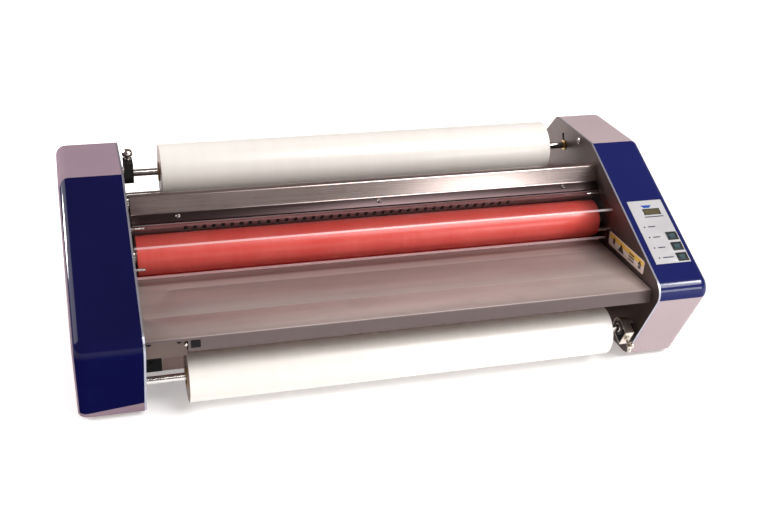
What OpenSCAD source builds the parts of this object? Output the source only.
// Bench roll laminator: two side cabinets carry heated nip rollers, pull
// rollers, two film supply rolls, a feed table, a clear shield and a
// steel hood.  X runs along the rollers, Y to the rear, Z up.  The origin
// is on the floor under the middle of the machine.

/* [Cabinets] */
// Width of the right cabinet, from its side plate outwards
right_cabinet_w = 88; // [80:1:110]
// Width of the left cabinet, from its side plate outwards
left_cabinet_w = 97; // [80:1:120]
// Clear width between the two side plates
plate_gap = 797; // [770:1:1000]
// Depth from the nose to the rear wall
cabinet_depth = 490; // [440:1:600]
// Height of a cabinet without its feet
cabinet_h = 298; // [270:1:360]
// Length of the level top
flat_top_l = 148; // [100:1:170]
// Leg of the 45 degree chamfer at the top rear
rear_chamfer = 53; // [20:1:60]
// Fall of the long front slope, degrees
slope_angle = 25.6; // [20:0.1:28]
// Steepness of the undercut below the nose, degrees
undercut_angle = 62.2; // [55:0.1:75]
// Radius of the nose
nose_r = 25; // [15:1:30]
// Radius of a cover's outer edge
cover_edge_r = 16; // [8:1:20]
// Wall of a cover
cover_t = 2.5; // [1.5:0.1:3]
// Side plate thickness
plate_t = 3; // [2:0.5:4]
// Sheet thickness of the floors and the pan
pan_t = 2; // [1:0.5:3]
// Foot height
foot_h = 10; // [8:1:20]
// Foot diameter
foot_d = 28; // [20:1:32]

/* [Rollers] */
// Height of the nip above the cabinet's bottom edge
nip_h = 149; // [140:1:160]
// Distance of the heated nip behind the nose
nip_setback = 237; // [225:1:245]
// Distance from the heated nip back to the pull nip
nip_pitch = 110; // [104:1:111]
// Teeth of a heated roller's gear, whose pitch circle is the roller
heat_teeth = 36; // [32:1:38]
// Teeth of a pull roller's gear
pull_teeth = 28; // [26:1:30]
// Teeth of the idler gear
idler_teeth = 32; // [30:1:34]
// Teeth of the motor pinion
pinion_teeth = 16; // [14:1:18]
// Gear module, pitch diameter divided by teeth
gear_module = 1.75; // [1.6:0.05:1.8]
// Gear face width
gear_w = 10; // [6:1:12]
// Roller shaft diameter under the rubber
roller_shaft_d = 24; // [20:1:30]
// Journal diameter in the bearings
journal_d = 15; // [12:1:17]
// Bearing outer diameter
bearing_od = 32; // [28:1:35]
// Bearing width
bearing_w = 9; // [8:1:11]
// Space from a rubber face to the side plate
roller_end_gap = 8; // [4:1:15]

/* [Film supply] */
// Width of the film on both supply rolls
film_w = 686; // [600:1:700]
// Diameter of the upper film roll
upper_film_d = 90; // [60:1:110]
// Diameter of the lower film roll
lower_film_d = 79; // [50:1:90]
// Paper core outer diameter
core_od = 32; // [30:1:40]
// Paper core inner diameter
core_id = 25.4; // [24:0.1:28]
// Supply shaft diameter
supply_shaft_d = 12; // [10:0.5:14]
// Upper shaft, distance in front of the rear wall
upper_supply_inset = 97; // [85:1:110]
// Upper shaft, distance below the level top
upper_supply_drop = 40; // [32:1:50]
// Lower shaft, distance behind the nose
lower_supply_setback = 75; // [65:1:90]
// Lower shaft, height above the cabinet's bottom edge
lower_supply_h = 51; // [45:1:60]

/* [Feed table] */
// Feed table top above the cabinet's bottom edge
table_h = 147.4; // [138:0.1:158]
// Front edge of the table behind the nose
table_setback = 22; // [10:1:60]
// Depth of the folded front lip
table_lip = 23; // [12:1:30]
// Sheet thickness of the table
table_t = 1.5; // [1:0.1:2.5]
// Gap from a table end to the side plate
table_end_gap = 1.5; // [1:0.5:4]
// Gap from the table's rear edge to the lower heated roller
table_roller_gap = 5; // [3:0.5:10]
// How far the table draws out
table_travel = 190; // [100:1:220]

/* [Shield and hood] */
// Thickness of the clear shield
shield_t = 3; // [2:0.5:4]
// Diameter of the shield's hinge pins
hinge_pin_d = 5; // [4:0.5:6]
// Diameter of the pins that the closed shield rests on
rest_pin_d = 5; // [4:0.5:6]
// Sheet thickness of the hood
hood_t = 1.5; // [1:0.1:2]
// Gap from the hood's left end to the side plate
hood_left_gap = 5; // [0:0.5:10]
// Number of slots in the vent strip
vent_count = 38; // [20:1:44]
// Distance between vent slots
vent_pitch = 14.8; // [12:0.1:16]
// Width of a vent slot
vent_slot_w = 6; // [3:0.5:10]
// Height of a vent slot along the strip
vent_slot_l = 15; // [4:0.5:18]

/* [Controls] */
// Width of the control panel
panel_w = 62; // [56:1:64]
// Length of the control panel down the slope
panel_l = 134; // [120:1:150]
// Panel thickness
panel_t = 0.8; // [0.5:0.1:1.5]
// Button width
key_w = 14.4; // [10:0.1:16]
// Button length down the slope
key_l = 12.4; // [10:0.1:14]
// Button travel
key_travel = 1; // [0.5:0.1:1.5]
// Distance between buttons
key_pitch = 22; // [20:0.5:24]

/* [Fits] */
// Radial clearance of a turning shaft
run_gap = 0.05; // [0.02:0.01:0.1]
// Radial clearance of a part seated in its hole
seat_gap = 0.02; // [0.01:0.01:0.1]
// Clearance of a sliding part on each side
slide_gap = 0.3; // [0.2:0.05:0.5]

/* [Hidden] */
$fn = 48;
eps = 0.01;

// cabinet outline
half_gap = plate_gap / 2;
plate_x = half_gap + plate_t;
middle_x = (left_cabinet_w - right_cabinet_w) / 2;
front_y = -cabinet_depth / 2;
rear_y = cabinet_depth / 2;
base_z = foot_h;
top_z = base_z + cabinet_h;
slope_top = [rear_y - rear_chamfer - flat_top_l, top_z];
down_slope = [-cos(slope_angle), -sin(slope_angle)];
down_undercut = [cos(undercut_angle), -sin(undercut_angle)];
nose_half = (slope_angle + undercut_angle) / 2;
nose_in = unit(down_undercut - down_slope);
nose_y = front_y + nose_r - nose_in[0] * nose_r / sin(nose_half);
nose_corner = [nose_y, top_z - (slope_top[0] - nose_y) * tan(slope_angle)];
toe_y = nose_corner[0] + (nose_corner[1] - base_z) / tan(undercut_angle);
bend_r = 12;
rear_r = 8;
cover_gap = 0.5;

// rollers and gears
nip_z = base_z + nip_h;
heat_y = front_y + nip_setback;
pull_y = heat_y + nip_pitch;
heat_r = heat_teeth * gear_module / 2;
pull_r = pull_teeth * gear_module / 2;
idler_r = idler_teeth * gear_module / 2;
pinion_r = pinion_teeth * gear_module / 2;
upper_heat = [heat_y, nip_z + heat_r];
lower_heat = [heat_y, nip_z - heat_r];
upper_pull = [pull_y, nip_z + pull_r];
lower_pull = [pull_y, nip_z - pull_r];
nip_clear = 0.15;
shaft_inset = 4;
bearing_x = half_gap - shaft_inset + 1;
gear_x = -plate_x - 16;
train = lower_pull - lower_heat;
train_angle = atan2(train[1], train[0]);
heat_arm = heat_r + idler_r;
pull_arm = pull_r + idler_r;
idler_angle = train_angle - acos((heat_arm * heat_arm + train * train - pull_arm * pull_arm)
    / (2 * heat_arm * norm(train)));
idler = lower_heat + heat_arm * [cos(idler_angle), sin(idler_angle)];
pull_angle = atan2(lower_pull[1] - idler[1], lower_pull[0] - idler[0]);
pinion_angle = -90;
pinion = idler + (idler_r + pinion_r) * [cos(pinion_angle), sin(pinion_angle)];
lower_heat_phase = 0;
upper_heat_phase = mesh_phase(lower_heat_phase, heat_teeth, heat_teeth, 90);
idler_phase = mesh_phase(lower_heat_phase, heat_teeth, idler_teeth, idler_angle);
lower_pull_phase = mesh_phase(idler_phase, idler_teeth, pull_teeth, pull_angle);
upper_pull_phase = mesh_phase(lower_pull_phase, pull_teeth, pull_teeth, 90);
pinion_phase = mesh_phase(idler_phase, idler_teeth, pinion_teeth, pinion_angle);
idler_stud_d = 10;
motor_shaft_d = 8;
motor_d = 58;
motor_x = gear_x - gear_w - 5;
spring_r = 5;
spring_wire = 1.6;
spring_turns = 4;
spring_l = 15;
spring_x = plate_x + spring_r + spring_wire;
spring_lift = 1;
bracket_t = 6;

// film supply
upper_supply = [rear_y - upper_supply_inset, top_z - upper_supply_drop];
lower_supply = [front_y + lower_supply_setback, base_z + lower_supply_h];
upper_film_x = 7.8;
lower_film_x = 6.6;
bush_od = 18;
bush_w = plate_t + 3;
shaft_over = 6;
core_over = 1.5;
hub_w = 30;
collar_d = 24;
collar_w = 15;
brake_x = half_gap - 13;
yoke_r = 17;
yoke_t = 2;
pad_h = 8;
screw_d = 6;
upper_brake_turn = 0;
lower_brake_turn = 118;

// feed table
table_z = base_z + table_h;
table_front = front_y + table_setback;
under_table = table_z - table_t;
roller_chord = sqrt(max(0, heat_r * heat_r - pow(under_table - lower_heat[1], 2)));
table_rear = heat_y - roller_chord - table_roller_gap;
table_half = half_gap - table_end_gap;
latch_x = -half_gap + 61;
latch_ball_d = 5;
guard_size = [25, 10, 26];
rail_w = 16;
groove = 0.4;

// shield and hood
hinge = [heat_y, upper_heat[1] + heat_r + 14];
shield_bend = hinge + [-58, -6.5];
shield_lip = shield_bend + [8.8, -56];
shield_half = half_gap - 3;
barrel_r = hinge_pin_d / 2 + 2;
pin_reach = 20;
rest_pin_l = 18;
rest_pin = [shield_bend[0] + 8.8 * 41.5 / 56 + shield_t + rest_pin_d / 2 + slide_gap, shield_bend[1] - 41.5];
hood_lip = hinge + [5, 5];
hood_bend = hood_lip + [14.6, 10];
hood_top = hood_bend + [7, 26];
vent_top = hood_lip + [3, -3];
vent_foot = vent_top + [22, -25];

// controls
panel_mid_x = plate_x + 41;
panel_mid_s = 206;
display_s = 164;
display_size = [31, 13.5];
display_x = panel_mid_x + 5;
lamp_x = panel_mid_x - 21;
lamp_s = [195.6, 218, 240, 261];
lamp_d = 3;
key_x = panel_mid_x + 19.5;
key_s = 218.5;
bezel_w = 2;
key_proud = 1.4;
board_drop = 14;
board_t = 1.6;
power_x = plate_x + 42;
power_z = base_z + 62;
power_in = 5;

function unit(v) = v / norm(v);

// Points of an arc that rounds corner c between its neighbours a and b
function round_corner(a, c, b, r, steps) = r == 0 ? [c] :
    let (u = unit(a - c), v = unit(b - c), half = acos(u * v) / 2,
        mid = c + unit(u + v) * r / sin(half),
        from = c + u * r / tan(half) - mid, to = c + v * r / tan(half) - mid,
        start = atan2(from[1], from[0]), raw = atan2(to[1], to[0]) - start,
        sweep = raw > 180 ? raw - 360 : raw < -180 ? raw + 360 : raw)
    [for (i = [0:steps]) mid + r * [cos(start + sweep * i / steps), sin(start + sweep * i / steps)]];

// A closed outline with rounded corners, from [y, z, radius] triples
function rounded(corners, steps = 8) = let (n = len(corners))
    [for (i = [0:n - 1]) let (a = corners[(i + n - 1) % n], c = corners[i], b = corners[(i + 1) % n])
        each round_corner([a[0], a[1]], [c[0], c[1]], [b[0], b[1]], c[2], steps)];

// Cabinet outline; drop carries the bottom edge down along the undercut
function outline(bottom) = rounded([
    [slope_top[0], top_z, bend_r],
    [nose_corner[0], nose_corner[1], nose_r],
    [nose_corner[0] + (nose_corner[1] - bottom) / tan(undercut_angle), bottom, 0],
    [rear_y, bottom, 0],
    [rear_y, top_z - rear_chamfer, rear_r],
    [rear_y - rear_chamfer, top_z, rear_r]]);

// A bent sheet's section: the line of points given thickness t on its left
function left_of(v) = [-v[1], v[0]];
function sheet_offset(p, i, t) =
    let (n = len(p), before = left_of(unit(p[max(i, 1)] - p[max(i, 1) - 1])),
        after = left_of(unit(p[min(i + 1, n - 1)] - p[min(i, n - 2)])), mid = unit(before + after))
    p[i] + mid * t / (mid * before);
function sheet(p, t) = concat(p, [for (i = [len(p) - 1:-1:0]) sheet_offset(p, i, t)]);

// Turn of a gear whose gap meets the tooth of the gear it is driven by
function mesh_phase(phase, teeth, driven_teeth, direction) =
    let (offset = (direction - phase) * teeth / 360)
    direction + 180 - (0.5 - offset) * 360 / driven_teeth;

// Places a (y, z) section between two X values
module extrude_x(x0, x1) {
    translate([x0, 0, 0])
    rotate([90, 0, 90])
    linear_extrude(x1 - x0)
    children();
}

// A rod along X between two X values, centred on at = [y, z]
module rod(at, d, x0, x1) {
    translate([x0, at[0], at[1]])
    rotate([0, 90, 0])
    cylinder(d = d, h = x1 - x0);
}

// A tube along X
module tube(at, od, id, x0, x1) {
    difference() {
        rod(at, od, x0, x1);
        rod(at, id, x0 - 1, x1 + 1);
    }
}

// Moves the machine so that its overall box is centred on the origin
module placed() {
    translate([middle_x, 0, 0])
    children();
}

// Draws its children at both sides, mirrored
module both_sides() {
    for (side = [0, 1]) {
        mirror([side, 0, 0])
        children();
    }
}

// Moves to a point down the right cover's slope, Z pointing out of it
module on_slope(x, s) {
    translate([x, slope_top[0], slope_top[1]])
    rotate([slope_angle, 0, 0])
    translate([0, -s, 0])
    children();
}

// A box with its middle at the origin and its bottom at z0
module block(w, l, z0, z1) {
    translate([-w / 2, -l / 2, z0])
    cube([w, l, z1 - z0]);
}

// Frame

pan_front = heat_y - 55;
pan_lip = 26;

module pan() {
    color("rosybrown")
    extrude_x(-half_gap, half_gap)
    polygon(sheet([[pan_front, base_z + pan_lip], [pan_front, base_z], [rear_y - 8, base_z],
        [rear_y - 8, base_z + pan_lip]], pan_t));
}

module cabinet_floor(w) {
    inner = half_gap;
    outer = plate_x + w - cover_t - cover_gap;
    front = toe_y + 6;
    back = rear_y - cover_t - cover_gap;
    cut = cover_edge_r;
    color("dimgray")
    translate([0, 0, base_z])
    linear_extrude(pan_t)
    polygon([[inner, front], [outer - cut, front], [outer, front + cut], [outer, back - cut],
        [outer - cut, back], [inner, back]]);
}

module drilled_floor(w) {
    difference() {
        cabinet_floor(w);
        foot_places() cylinder(d = screw_d, h = foot_h * 4);
    }
}

module right_floor() {
    drilled_floor(right_cabinet_w);
}

module left_floor() {
    mirror([1, 0, 0])
    drilled_floor(left_cabinet_w);
}

foot_x = plate_x + 44;
foot_ys = [toe_y + 42, rear_y - 32];

module foot_places() {
    for (y = foot_ys) {
        translate([foot_x, y, 0])
        children();
    }
}

module feet() {
    color("black")
    both_sides()
    foot_places()
    difference() {
        union() {
            cylinder(d1 = foot_d - 4, d2 = foot_d, h = 3);
            translate([0, 0, 3]) cylinder(d = foot_d, h = foot_h - 3);
        }
        translate([0, 0, -1]) cylinder(d = screw_d * 2, h = 5);
        cylinder(d = screw_d, h = foot_h + 1);
    }
}

rod_places = [[rear_y - 30, base_z + 40], [rear_y - 30, base_z + 190], [hood_top[0] + 16, hood_top[1] - 16],
    [pan_front + 30, base_z + 60]];
rod_d = 12;
bolt_place = [rear_y - 156, top_z - 11];

// Holes in both side plates, as circles in the (y, z) plane
module plate_holes() {
    for (at = [upper_heat, lower_heat, upper_pull, lower_pull]) {
        translate(at) circle(d = bearing_od + 2 * seat_gap);
    }
    for (at = [upper_supply, lower_supply]) {
        translate(at) circle(d = bush_od + 2 * seat_gap);
    }
    for (at = concat(rod_places, [bolt_place])) {
        translate(at) circle(d = screw_d);
    }
    translate(hinge) circle(d = hinge_pin_d);
    translate(rest_pin) circle(d = rest_pin_d);
    translate(upper_supply) rotate(62) translate([bush_od / 2 + 6, 0]) square([14, 8], center = true);
}

module right_side_plate() {
    color("gray")
    extrude_x(half_gap, plate_x)
    difference() {
        polygon(outline(base_z + pan_t));
        plate_holes();
    }
}

module left_side_plate() {
    mirror([1, 0, 0])
    right_side_plate();
}

// The rounded block of a cover, shrunk by inset on every side but the inner one
module cover_block(w, inset) {
    r = cover_edge_r - inset;
    outer = plate_x + w - inset;
    low = base_z - cover_edge_r - 2;
    intersection() {
        hull() {
            extrude_x(plate_x - (inset > 0 ? 1 : 0), outer - r)
            offset(delta = -inset)
            polygon(outline(low));
            for (turn = [15:15:90]) {
                translate([outer - r + r * sin(turn) - eps, 0, 0])
                extrude_x(0, eps)
                offset(delta = -inset - r * (1 - cos(turn)))
                polygon(outline(low));
            }
        }
        translate([0, -cabinet_depth, base_z - (inset > 0 ? 1 : 0)])
        cube([2 * (plate_x + w), 2 * cabinet_depth, cabinet_h * 2]);
    }
}

module cover(w) {
    difference() {
        cover_block(w, 0);
        cover_block(w, cover_t);
    }
}

module left_cover() {
    color("midnightblue")
    mirror([1, 0, 0])
    cover(left_cabinet_w);
}

module right_cover() {
    color("midnightblue")
    difference() {
        cover(right_cabinet_w);
        on_slope(display_x, display_s)
        block(display_size[0] + 1, display_size[1] + 1, -cover_t - 2, 2);
        for (s = lamp_s) {
            on_slope(lamp_x, s)
            block(lamp_d + 1, lamp_d + 1, -cover_t - 2, 2);
        }
        key_places() block(key_w + 2 * slide_gap, key_l + 2 * slide_gap, -cover_t - 2, 2);
        translate([power_x, rear_y, power_z])
        cube([46, 4 * cover_t, 96], center = true);
    }
}

module tie_rods() {
    color("silver")
    for (at = rod_places) {
        difference() {
            rod(at, rod_d, -half_gap, half_gap);
            rod(at, screw_d, half_gap - 12, half_gap + 1);
            rod(at, screw_d, -half_gap - 1, -half_gap + 12);
        }
    }
}

// A pan head screw pointing down Z, its head above the origin
module screw(d, l, head = 1.8) {
    translate([0, 0, -l]) cylinder(d = d, h = l);
    cylinder(d = d * head, h = d * 0.35);
    translate([0, 0, d * 0.35]) cylinder(d1 = d * head, d2 = d * head * 0.6, h = d * 0.25);
}

hood_screw_xs = [-322, 6, 334];

module machine_screws() {
    tight = screw_d - 2 * seat_gap;
    color("silver") {
        both_sides() {
            for (at = rod_places) {
                translate([plate_x, at[0], at[1]]) rotate([0, 90, 0]) screw(tight, plate_t + 8);
            }
            translate([half_gap, bolt_place[0], bolt_place[1]]) rotate([0, -90, 0]) screw(tight, plate_t);
            foot_places() translate([0, 0, 4]) rotate([180, 0, 0]) screw(tight, foot_h + 4, 1.5);
        }
        for (x = hood_screw_xs) {
            hood_screw_place(x) screw(4, hood_t);
        }
    }
}

module hood_screw_place(x) {
    mid = (hood_lip + hood_bend) / 2;
    tilt = atan2(hood_bend[1] - hood_lip[1], hood_bend[0] - hood_lip[0]);
    translate([x, mid[0], mid[1]])
    rotate([tilt, 0, 0])
    translate([0, 0, hood_t])
    children();
}

module rear_panel() {
    rail_z = under_table - 22;
    color("silver")
    extrude_x(-half_gap, half_gap)
    polygon(sheet([[rear_y - 10, base_z + pan_lip + 1], [rear_y - 10, rail_z - 30],
        [pull_y + pull_r + 8, rail_z]], pan_t));
}

// Feed table

module table_rails() {
    color("gray")
    both_sides()
    extrude_x(half_gap - rail_w, half_gap)
    polygon(sheet([[table_front + 12, under_table - 14], [table_front + 12, under_table],
        [table_rear - 6, under_table]], -pan_t));
}

// Left end plate behind the cut-away lip, held by two screws
module latch_bracket() {
    mid_z = table_z - 7;
    color("dimgray")
    difference() {
        translate([-half_gap, table_front + 6, table_z - 32])
        cube([60, pan_t, 30 - table_t - slide_gap]);
        for (x = [-half_gap + 6, -half_gap + 49]) {
            translate([x, table_front + 5, mid_z]) rotate([-90, 0, 0]) cylinder(d = 4, h = 10);
        }
    }
}

// Latch screws, ball catch and the block that guards the supply shaft's bush
module table_latch() {
    mid_z = table_z - 7;
    color("black")
    for (x = [-half_gap + 6, -half_gap + 49]) {
        translate([x, table_front + 6, mid_z]) rotate([90, 0, 0]) screw(3.9, pan_t, 2);
    }
    color("silver")
    translate([latch_x - latch_ball_d / 2 - slide_gap, table_front + 2.2, table_z - 12]) {
        sphere(d = latch_ball_d);
        rotate([-90, 0, 0]) cylinder(d = 3, h = 3.8);
    }
    color("black")
    translate([-half_gap, lower_supply[0] - 20, lower_supply[1] + bush_od / 2 + 17]) {
        cube([guard_size[0], guard_size[1], guard_size[2]]);
        translate([guard_size[0] * 0.4, eps, guard_size[2] * 0.6]) rotate([90, 0, 0]) cylinder(d1 = 5, d2 = 3, h = 1.5);
    }
}

module feed_table() {
    color("silver")
    difference() {
        union() {
            extrude_x(latch_x, table_half)
            polygon(sheet([[table_front, table_z - table_lip], [table_front, table_z],
                [table_rear, table_z]], -table_t));
            extrude_x(-table_half, latch_x + eps)
            polygon(sheet([[table_front, table_z - 5], [table_front, table_z],
                [table_rear, table_z]], -table_t));
            translate([latch_x + 4, table_front - 1, table_z - 17]) cube([14, 1 + eps, 12]);
        }
        translate([-352, table_rear - 44, table_z - groove]) cube([704, 2, 1]);
        translate([-table_half + 6, table_rear - 130, table_z - groove]) cube([table_half + 324, 2, 1]);
    }
}

// Shield and hood

module shield() {
    color("mistyrose", 0.4)
    difference() {
        union() {
            rod(hinge, 2 * barrel_r, -shield_half, shield_half);
            extrude_x(-shield_half, shield_half)
            polygon(sheet([hinge + [0, -shield_t / 2], shield_bend, shield_lip], -shield_t));
            rod(shield_lip + [shield_t / 2, 0.4], shield_t + 1.4, -shield_half, shield_half);
        }
        both_sides()
        rod(hinge, hinge_pin_d + 2 * run_gap, shield_half - pin_reach - 1, shield_half + 1);
    }
}

module shield_pivots() {
    color("silver")
    both_sides() {
        rod(hinge, hinge_pin_d, shield_half - pin_reach, plate_x + 3);
        rod(hinge, hinge_pin_d + 4, plate_x, plate_x + 3);
    }
}

module shield_rest_pins() {
    color("silver")
    both_sides()
    rod(rest_pin, rest_pin_d, half_gap - rest_pin_l, plate_x + 2);
}

module hood() {
    color("silver")
    difference() {
        extrude_x(-half_gap + hood_left_gap, half_gap)
        polygon(sheet([hood_lip, hood_bend, hood_top, hood_top + [12, 0], hood_top + [62, -46],
            hood_top + [62, -56]], hood_t));
        for (x = hood_screw_xs) {
            hood_screw_place(x) translate([0, 0, -10]) cylinder(d = 4, h = 20);
        }
    }
}

module vent_strip() {
    run = norm(vent_foot - vent_top);
    tilt = atan2(vent_foot[1] - vent_top[1], vent_foot[0] - vent_top[0]);
    color("darkslategray")
    difference() {
        extrude_x(-half_gap + hood_left_gap, half_gap)
        polygon(sheet([vent_top, vent_foot], -1.2));
        for (i = [0:vent_count - 1]) {
            translate([(i - (vent_count - 1) / 2) * vent_pitch - 36, vent_top[0], vent_top[1]])
            rotate([tilt, 0, 0])
            translate([-vent_slot_w / 2, run * 0.38, -3])
            cube([vent_slot_w, vent_slot_l, 6]);
        }
    }
}

module film_guides() {
    color("silver") {
        rod([hood_top[0] + 30, hood_top[1] - 45], 12, -half_gap, half_gap);
        rod([heat_y - 50, lower_heat[1] - 40], 12, -half_gap, half_gap);
    }
}

// Rollers

module roller_shaft(at, r) {
    color("silver") {
        rod(at, roller_shaft_d, -half_gap + shaft_inset, half_gap - shaft_inset);
        rod(at, journal_d, gear_x - gear_w - 2, bearing_x + bearing_w + 1);
    }
}

module roller_sleeve(at, r, shade) {
    color(shade)
    tube(at, 2 * r - nip_clear, roller_shaft_d + 2 * seat_gap, -half_gap + roller_end_gap, half_gap - roller_end_gap);
}

module upper_heat_shaft() {
    roller_shaft(upper_heat);
}

module upper_heat_sleeve() {
    roller_sleeve(upper_heat, heat_r, "firebrick");
}

module lower_heat_shaft() {
    roller_shaft(lower_heat);
}

module lower_heat_sleeve() {
    roller_sleeve(lower_heat, heat_r, "firebrick");
}

module upper_pull_shaft() {
    roller_shaft(upper_pull);
}

module upper_pull_sleeve() {
    roller_sleeve(upper_pull, pull_r, "dimgray");
}

module lower_pull_shaft() {
    roller_shaft(lower_pull);
}

module lower_pull_sleeve() {
    roller_sleeve(lower_pull, pull_r, "dimgray");
}

module roller_bearings() {
    color("silver")
    both_sides()
    for (at = [upper_heat, lower_heat, upper_pull, lower_pull]) {
        tube(at, bearing_od, journal_d + 2 * run_gap, bearing_x, bearing_x + bearing_w);
    }
}

// Gears and drive

tip = gear_module * 0.8;
root = gear_module * 1.1;

module gear(at, teeth, phase, bore) {
    pitch_r = teeth * gear_module / 2;
    tooth = 360 / teeth;
    color("goldenrod")
    extrude_x(gear_x - gear_w, gear_x)
    translate(at)
    rotate(phase)
    difference() {
        polygon([for (i = [0:teeth - 1]) each [
            for (corner = [[-0.36, -root], [-0.14, tip], [0.14, tip], [0.36, -root]])
                (pitch_r + corner[1]) * [cos((i + corner[0]) * tooth), sin((i + corner[0]) * tooth)]]]);
        circle(d = bore);
    }
}

module upper_heat_gear() {
    gear(upper_heat, heat_teeth, upper_heat_phase, journal_d + 2 * seat_gap);
}

module lower_heat_gear() {
    gear(lower_heat, heat_teeth, lower_heat_phase, journal_d + 2 * seat_gap);
}

module upper_pull_gear() {
    gear(upper_pull, pull_teeth, upper_pull_phase, journal_d + 2 * seat_gap);
}

module lower_pull_gear() {
    gear(lower_pull, pull_teeth, lower_pull_phase, journal_d + 2 * seat_gap);
}

module idler_stud() {
    color("silver") {
        rod(idler, idler_stud_d, gear_x - gear_w - 2, -plate_x);
        rod(idler, idler_stud_d + 8, gear_x + 1, -plate_x);
    }
}

module idler_gear() {
    gear(idler, idler_teeth, idler_phase, idler_stud_d + 2 * run_gap);
}

module drive_pinion() {
    gear(pinion, pinion_teeth, pinion_phase, 0.1);
    color("silver")
    rod(pinion, motor_shaft_d, motor_x - 20, gear_x - gear_w);
}

// Motor can, gearbox flange and the standoffs that hold it to the plate
module gearmotor() {
    can_l = plate_x + left_cabinet_w - cover_t - 4 + motor_x;
    color("dimgray")
    difference() {
        union() {
            rod(pinion, motor_d, motor_x - 14, motor_x);
            rod(pinion, motor_d - 10, motor_x - can_l, motor_x - 13);
            for (turn = [210, 270, 330]) {
                rod(pinion + 25 * [cos(turn), sin(turn)], 7, motor_x - eps, -plate_x);
            }
        }
        rod(pinion, motor_shaft_d + 2 * run_gap, motor_x - 21, motor_x + 1);
    }
}

// A helical spring standing on z = 0
module spring(r, wire, turns, l) {
    sides = 6;
    steps = turns * 12;
    points = [for (i = [0:steps], j = [0:sides - 1])
        let (turn = i * 30, around = j * 360 / sides, reach = r + wire / 2 * cos(around))
        [reach * cos(turn), reach * sin(turn), wire / 2 + (l - wire) * i / steps + wire / 2 * sin(around)]];
    faces = concat([[for (j = [0:sides - 1]) j]],
        [for (i = [0:steps - 1], j = [0:sides - 1]) [i * sides + j, (i + 1) * sides + j,
            (i + 1) * sides + (j + 1) % sides, i * sides + (j + 1) % sides]],
        [[for (j = [sides - 1:-1:0]) steps * sides + j]]);
    polyhedron(points, faces);
}

module pressure_springs() {
    color("silver")
    both_sides()
    for (at = [upper_heat, upper_pull]) {
        translate([spring_x, at[0], at[1] + bearing_od / 2 + spring_lift])
        spring(spring_r, spring_wire, spring_turns, spring_l);
    }
}

// Lugs that hold the springs down on the upper bearings
module pressure_brackets() {
    color("gray")
    both_sides()
    for (at = [upper_heat, upper_pull]) {
        z = at[1] + bearing_od / 2 + spring_lift + spring_l;
        translate([plate_x, at[0] - 9, z]) cube([14, 18, bracket_t]);
    }
}

// Film supply

module supply_shaft(at, film_x) {
    color("silver") {
        rod(at, supply_shaft_d, -plate_x - shaft_over, plate_x + shaft_over);
        for (side = [-1, 1]) {
            rod(at, core_id - 2 * seat_gap, film_x + side * (film_w / 2 - hub_w / 2) - hub_w / 2,
                film_x + side * (film_w / 2 - hub_w / 2) + hub_w / 2);
        }
    }
}

module core(at, film_x) {
    color("tan")
    tube(at, core_od, core_id, film_x - film_w / 2 - core_over, film_x + film_w / 2 + core_over);
}

module film(at, d, film_x) {
    color("ivory")
    tube(at, d, core_od + 2 * seat_gap, film_x - film_w / 2, film_x + film_w / 2);
}

// A supply shaft also carries its brake collar
module upper_supply_shaft() {
    supply_shaft(upper_supply, upper_film_x);
    color("gray") rod(upper_supply, collar_d, -brake_x - collar_w / 2, -brake_x + collar_w / 2);
}

module lower_supply_shaft() {
    supply_shaft(lower_supply, lower_film_x);
    color("gray") rod(lower_supply, collar_d, brake_x - collar_w / 2, brake_x + collar_w / 2);
}

module upper_core() {
    core(upper_supply, upper_film_x);
}

module upper_film() {
    film(upper_supply, upper_film_d, upper_film_x);
}

module lower_core() {
    core(lower_supply, lower_film_x);
}

module lower_film() {
    film(lower_supply, lower_film_d, lower_film_x);
}

module supply_bushes() {
    color("darkgoldenrod")
    both_sides()
    for (at = [upper_supply, lower_supply]) {
        tube(at, bush_od, supply_shaft_d + 2 * run_gap, half_gap - 2, half_gap - 2 + bush_w);
    }
}

// Moves to a brake's own frame: the shaft along X, its screw along Z
module at_brake(at, x, turn) {
    translate([x, at[0], at[1]])
    rotate([turn, 0, 0])
    children();
}

// Strap that loops round the collar and carries the screw
module yoke() {
    top = collar_d / 2 + pad_h + slide_gap;
    r = yoke_r;
    difference() {
        union() {
            rotate([0, 90, 0]) cylinder(r = r, h = collar_w, center = true);
            translate([-collar_w / 2, -r, 0]) cube([collar_w, 2 * r, top + yoke_t]);
        }
        rotate([0, 90, 0]) cylinder(r = r - yoke_t, h = collar_w + 2, center = true);
        translate([-collar_w, -r + yoke_t, 0]) cube([2 * collar_w, 2 * (r - yoke_t), top]);
        cylinder(d = screw_d + 2 * run_gap, h = 3 * r);
    }
}

module brake_yokes() {
    color("silver") {
        at_brake(upper_supply, -brake_x, upper_brake_turn) {
            yoke();
            translate([-half_gap + brake_x, -yoke_r, -3]) cube([half_gap - brake_x, yoke_t, 6]);
        }
        at_brake(lower_supply, brake_x, lower_brake_turn) {
            yoke();
            translate([0, yoke_r - yoke_t, -3]) cube([half_gap - brake_x, yoke_t, 6]);
        }
    }
}

module pad() {
    gap = slide_gap;
    difference() {
        translate([0, 0, collar_d / 2 + pad_h / 2 - 1])
        cube([collar_w - 2, 20, pad_h], center = true);
        rotate([0, 90, 0]) cylinder(d = collar_d + 2 * gap, h = collar_w + 2, center = true);
    }
}

module brake_pads() {
    color("black") {
        at_brake(upper_supply, -brake_x, upper_brake_turn) pad();
        at_brake(lower_supply, brake_x, lower_brake_turn) pad();
    }
}

// Screw from the pad out through the yoke
module brake_screw_shank(l) {
    start = collar_d / 2 + pad_h;
    translate([0, 0, start - 1 + slide_gap]) cylinder(d = screw_d, h = l);
    translate([0, 0, start + yoke_t + 2 * slide_gap]) cylinder(d = 10, h = 3);
}

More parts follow.
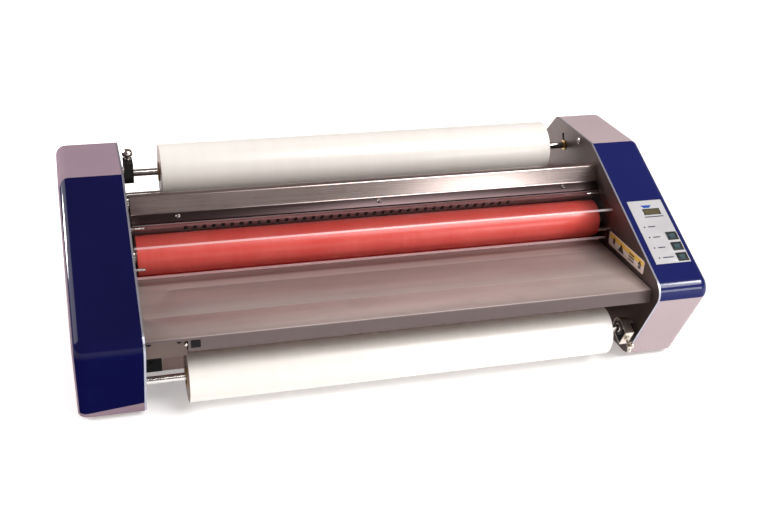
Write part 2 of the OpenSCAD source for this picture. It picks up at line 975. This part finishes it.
module upper_brake_screw() {
    color("silver")
    at_brake(upper_supply, -brake_x, upper_brake_turn) {
        brake_screw_shank(14);
        translate([0, 0, collar_d / 2 + pad_h + 10]) {
            cylinder(d1 = 12, d2 = 18, h = 3);
            translate([0, 0, 3]) cylinder(d = 18, h = 5);
            translate([0, 0, 8]) cylinder(d1 = 18, d2 = 10, h = 4);
        }
    }
}

module lower_brake_screw() {
    head_z = collar_d / 2 + pad_h + 14;
    color("silver")
    at_brake(lower_supply, brake_x, lower_brake_turn) {
        brake_screw_shank(16);
        translate([0, 0, head_z]) cylinder(d = 9, h = 7);
        for (side = [-1, 1]) {
            translate([0, side * 6.5, head_z + 6])
            rotate([0, 90, 0])
            cylinder(d = 10, h = 3, center = true);
        }
    }
}

// Controls

module key_places() {
    for (i = [0:2]) {
        on_slope(key_x, key_s + i * key_pitch)
        children();
    }
}

module control_panel() {
    color("gainsboro")
    difference() {
        union() {
            on_slope(panel_mid_x, panel_mid_s)
            block(panel_w, panel_l, 0, panel_t);
            key_places()
            block(key_w + 2 * slide_gap + 2 * bezel_w, key_l + 2 * slide_gap + 2 * bezel_w, 0, panel_t + 0.8);
        }
        key_places()
        block(key_w + 2 * slide_gap, key_l + 2 * slide_gap, -1, 5);
        on_slope(display_x, display_s)
        block(display_size[0] + 2 * seat_gap, display_size[1] + 2 * seat_gap, -1, 5);
        for (s = lamp_s) {
            on_slope(lamp_x, s) translate([0, 0, -1]) cylinder(d = lamp_d + 2 * seat_gap, h = 5);
        }
    }
}

// Circuit board on its posts, with a switch under each button
module control_board() {
    color("darkgreen")
    on_slope(panel_mid_x, panel_mid_s + 2)
    block(panel_w - 6, panel_l - 4, -board_drop - board_t, -board_drop);
    color("silver") {
        key_places()
        block(6, 6, -board_drop - eps, -board_drop + 2);
        for (x = [panel_mid_x - panel_w / 2 + 7, key_x - key_w / 2 - 5], end = [-1, 1]) {
            on_slope(x, panel_mid_s + 2 + end * (panel_l / 2 - 7))
            translate([0, 0, -board_drop - eps])
            cylinder(d = 5, h = board_drop - cover_t);
        }
    }
}

module display() {
    color("olive")
    on_slope(display_x, display_s)
    block(display_size[0], display_size[1], -board_drop, panel_t + 0.2);
}

module lamps() {
    color("darkred")
    for (s = lamp_s) {
        on_slope(lamp_x, s) {
            translate([0, 0, -board_drop]) cylinder(d = lamp_d, h = board_drop + panel_t);
            translate([0, 0, panel_t]) cylinder(d1 = lamp_d, d2 = lamp_d / 2, h = 0.8);
        }
    }
}

module key(i) {
    color("darkslategray")
    on_slope(key_x, key_s + i * key_pitch) {
        block(key_w, key_l, -cover_t - 1, panel_t + key_proud);
        block(5, 5, -board_drop + 2 + key_travel + slide_gap, -cover_t);
    }
}

module button_run() {
    key(0);
}

module button_stop() {
    key(1);
}

module button_reverse() {
    key(2);
}

inlet_z = power_z - 22;
switch_z = power_z + 22;
switch_size = [20, 26];
switch_tilt = 7;

// Recessed plate in the rear wall with the mains inlet and the switch frame
module power_unit() {
    face = rear_y - power_in;
    color("black")
    difference() {
        union() {
            translate([power_x - 25, face - 2, power_z - 50]) cube([50, 2, 100]);
            translate([power_x - 25, face - eps, power_z - 50]) cube([2, power_in - cover_t + eps, 100]);
            translate([power_x + 23, face - eps, power_z - 50]) cube([2, power_in - cover_t + eps, 100]);
            translate([power_x - 15, face - 22, inlet_z - 12]) cube([30, 24, 24]);
            translate([power_x - 14, face - 14, switch_z - 17]) cube([28, 15.5, 34]);
        }
        translate([power_x - 12, face - 18, inlet_z - 8.5]) cube([24, 30, 17]);
        translate([power_x - switch_size[0] / 2 - 0.5, face - 11, switch_z - switch_size[1] / 2 - 0.5])
        cube([switch_size[0] + 1, 30, switch_size[1] + 1]);
        rod([face - 5, switch_z], 3 + 2 * run_gap, power_x - 13, power_x + 13);
    }
    color("silver")
    for (pin = [[-7, -2], [0, 2.5], [7, -2]]) {
        translate([power_x + pin[0] - 1, face - 18 - eps, inlet_z + pin[1] - 2]) cube([2, 11, 4]);
    }
}

// Rocker that tips about a pin across its frame
module power_switch() {
    face = rear_y - power_in;
    color("darkred")
    translate([power_x, face - 5, switch_z])
    rotate([switch_tilt, 0, 0])
    rotate([90, 0, 90]) {
        linear_extrude(switch_size[0], center = true)
        polygon([[-3, -8], [-3, 8], [4, 12.2], [6.5, 11.6], [5.2, 0], [6.5, -11.6], [4, -12.2]]);
        cylinder(d = 3, h = 26 - 2 * slide_gap, center = true);
    }
}

placed() pan();
placed() left_floor();
placed() right_floor();
placed() feet();
placed() left_side_plate();
placed() right_side_plate();
placed() left_cover();
placed() right_cover();
placed() tie_rods();
placed() machine_screws();
placed() rear_panel();
placed() table_rails();
placed() latch_bracket();
placed() table_latch();
placed() feed_table();
placed() shield();
placed() shield_pivots();
placed() shield_rest_pins();
placed() hood();
placed() vent_strip();
placed() film_guides();
placed() upper_heat_shaft();
placed() upper_heat_sleeve();
placed() upper_heat_gear();
placed() lower_heat_shaft();
placed() lower_heat_sleeve();
placed() lower_heat_gear();
placed() upper_pull_shaft();
placed() upper_pull_sleeve();
placed() upper_pull_gear();
placed() lower_pull_shaft();
placed() lower_pull_sleeve();
placed() lower_pull_gear();
placed() roller_bearings();
placed() pressure_springs();
placed() pressure_brackets();
placed() idler_stud();
placed() idler_gear();
placed() drive_pinion();
placed() gearmotor();
placed() upper_supply_shaft();
placed() upper_core();
placed() upper_film();
placed() lower_supply_shaft();
placed() lower_core();
placed() lower_film();
placed() supply_bushes();
placed() brake_yokes();
placed() brake_pads();
placed() upper_brake_screw();
placed() lower_brake_screw();
placed() control_panel();
placed() control_board();
placed() display();
placed() lamps();
placed() button_run();
placed() button_stop();
placed() button_reverse();
placed() power_unit();
placed() power_switch();
